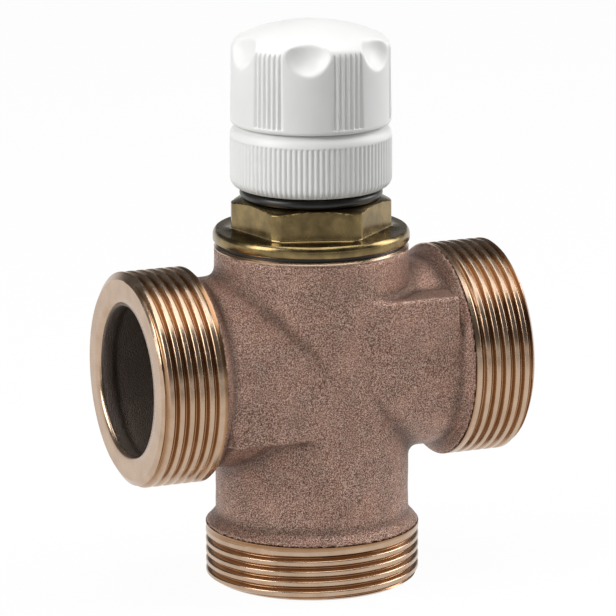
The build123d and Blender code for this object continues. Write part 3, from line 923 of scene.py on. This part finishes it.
# Finishes of the carried-over nodes, by the record's slots
finishes = {
    "bronze_casting": casting_finish,
    "brass_turned": brass_finish,
    "steel": steel_finish,
    "white_plastic": plastic_finish,
    "guide_plastic": guide_finish,
    "black_rubber": rubber_finish,
}
for subpart in frame["record"]["subparts"]:
    data = frame["nodes"][subpart["node"]].data
    data.materials.clear()
    data.materials.append(finishes[subpart["material_slot"]])


# Floor, light and camera


def seen_directly(tree):
    """1 for camera, glossy and transmission rays, and 0 for the rest."""
    path = add_node(tree, "ShaderNodeLightPath")
    both = add_node(
        tree,
        "ShaderNodeMath",
        {"operation": "MAXIMUM"},
        links={0: path.outputs["Is Camera Ray"], 1: path.outputs["Is Glossy Ray"]},
    )
    return add_node(
        tree,
        "ShaderNodeMath",
        {"operation": "MAXIMUM"},
        links={0: both.outputs[0], 1: path.outputs["Is Transmission Ray"]},
    ).outputs[0]


def make_floor():
    """A wide floor of white paper under the bottom port. Its glow is painted darker far in front, as
    painted shade that the object's front mirrors. Camera and reflections see mostly its glow and a little
    of the shadow on the paper."""
    half = 3.0
    glow_share = 0.9
    # The glow is painted darker far in front: painted shade on the floor
    painted_shade_from, bright_from = -430.0, -150.0
    painted_shade_level, bright_level = 0.3, 1.07
    mesh = bpy.data.meshes.new("floor")
    corners = [(-half, -half, 0), (half, -half, 0), (half, half, 0), (-half, half, 0)]
    mesh.from_pydata(corners, [], [(0, 1, 2, 3)])
    material, tree, paper, place = start_material(
        "white_paper", {"Base Color": linear("#9C9C9C"), "Roughness": 0.9, "Specular IOR Level": 0.0}
    )
    forward = add_node(tree, "ShaderNodeSeparateXYZ", links={0: place}).outputs["Y"]
    level = span(tree, forward, painted_shade_from, bright_from, painted_shade_level, bright_level)
    glow = add_node(
        tree, "ShaderNodeEmission", values={"Color": linear("#FFFFFF")}, links={"Strength": level}
    )
    share = add_node(
        tree, "ShaderNodeMath", {"operation": "MULTIPLY"}, {1: glow_share}, {0: seen_directly(tree)}
    )
    mix = add_node(
        tree,
        "ShaderNodeMixShader",
        links={0: share.outputs[0], 1: paper.outputs[0], 2: glow.outputs[0]},
    )
    tree.links.new(mix.outputs[0], tree.nodes["Material Output"].inputs["Surface"])
    mesh.materials.append(material)
    floor = new_object("floor", mesh)


def make_world():
    """A white horizon, fading into a dim studio above it."""
    world = bpy.data.worlds.new("studio")
    bpy.context.scene.world = world
    world.use_nodes = True
    tree = world.node_tree
    back = tree.nodes["Background"]
    back.inputs["Color"].default_value = linear("#FFFFFF")
    place = add_node(tree, "ShaderNodeTexCoord").outputs["Generated"]
    height = add_node(tree, "ShaderNodeSeparateXYZ", links={0: place}).outputs["Z"]
    horizon, studio = 0.06, 0.18
    tree.links.new(span(tree, height, horizon, studio, 1.0, 0.1), back.inputs["Strength"])


def make_lamp(name, azimuth, elevation, distance, width, height, brightness):
    """A soft box turned to the object, with its distance and size in metres. Azimuth 0 is in front of the
    object and 90 on its right. Brightness is the level at which the box's face is seen: 1 is white."""
    light = bpy.data.lights.new(name, "AREA")
    light.shape = "RECTANGLE"
    light.size = width
    light.size_y = height
    light.energy = brightness * math.pi * width * height
    lamp = bpy.data.objects.new(name, light)
    a, e = math.radians(azimuth), math.radians(elevation)
    target = Vector((0, 0, 60 * MM))
    place = Vector((math.sin(a) * math.cos(e), -math.cos(a) * math.cos(e), math.sin(e))) * distance
    lamp.location = target + place
    lamp.rotation_euler = place.to_track_quat("Z", "Y").to_euler()
    lamp.visible_camera = False
    bpy.context.scene.collection.objects.link(lamp)


def make_camera():
    """The camera of the photograph, fitted to the rims of the ports and the bonnet in it: a long lens,
    slightly from the left and from above."""
    azimuth, elevation, roll = (math.radians(v) for v in (-22.965, 13.313, -0.168))
    distance = 1041.27 * MM
    back = Vector(
        (
            math.sin(azimuth) * math.cos(elevation),
            -math.cos(azimuth) * math.cos(elevation),
            math.sin(elevation),
        )
    )
    level = Vector((math.cos(azimuth), math.sin(azimuth), 0))
    up = back.cross(level)
    right = level * math.cos(roll) + up * math.sin(roll)
    up = back.cross(right)
    target = Vector((-0.698, 0.296, 61.126)) * MM
    data = bpy.data.cameras.new("camera")
    data.sensor_width = 36.0
    data.sensor_fit = "HORIZONTAL"
    data.lens = 273.49
    data.clip_start = 0.05
    data.clip_end = 20
    camera = bpy.data.objects.new("camera", data)
    turn = Matrix((right, up, back)).transposed().to_4x4()
    camera.matrix_world = Matrix.Translation(target + back * distance) @ turn
    bpy.context.scene.collection.objects.link(camera)
    bpy.context.scene.camera = camera


make_floor()
make_world()
make_lamp(
    "overhead", azimuth=20, elevation=84, distance=0.9, width=0.8, height=0.8, brightness=2.75
)
make_lamp("left", azimuth=-86, elevation=29, distance=0.9, width=0.45, height=0.6, brightness=6.1)
make_lamp("right", azimuth=84, elevation=29, distance=0.9, width=0.45, height=0.6, brightness=5.4)
make_camera()
bpy.context.scene.view_settings.view_transform = "Standard"
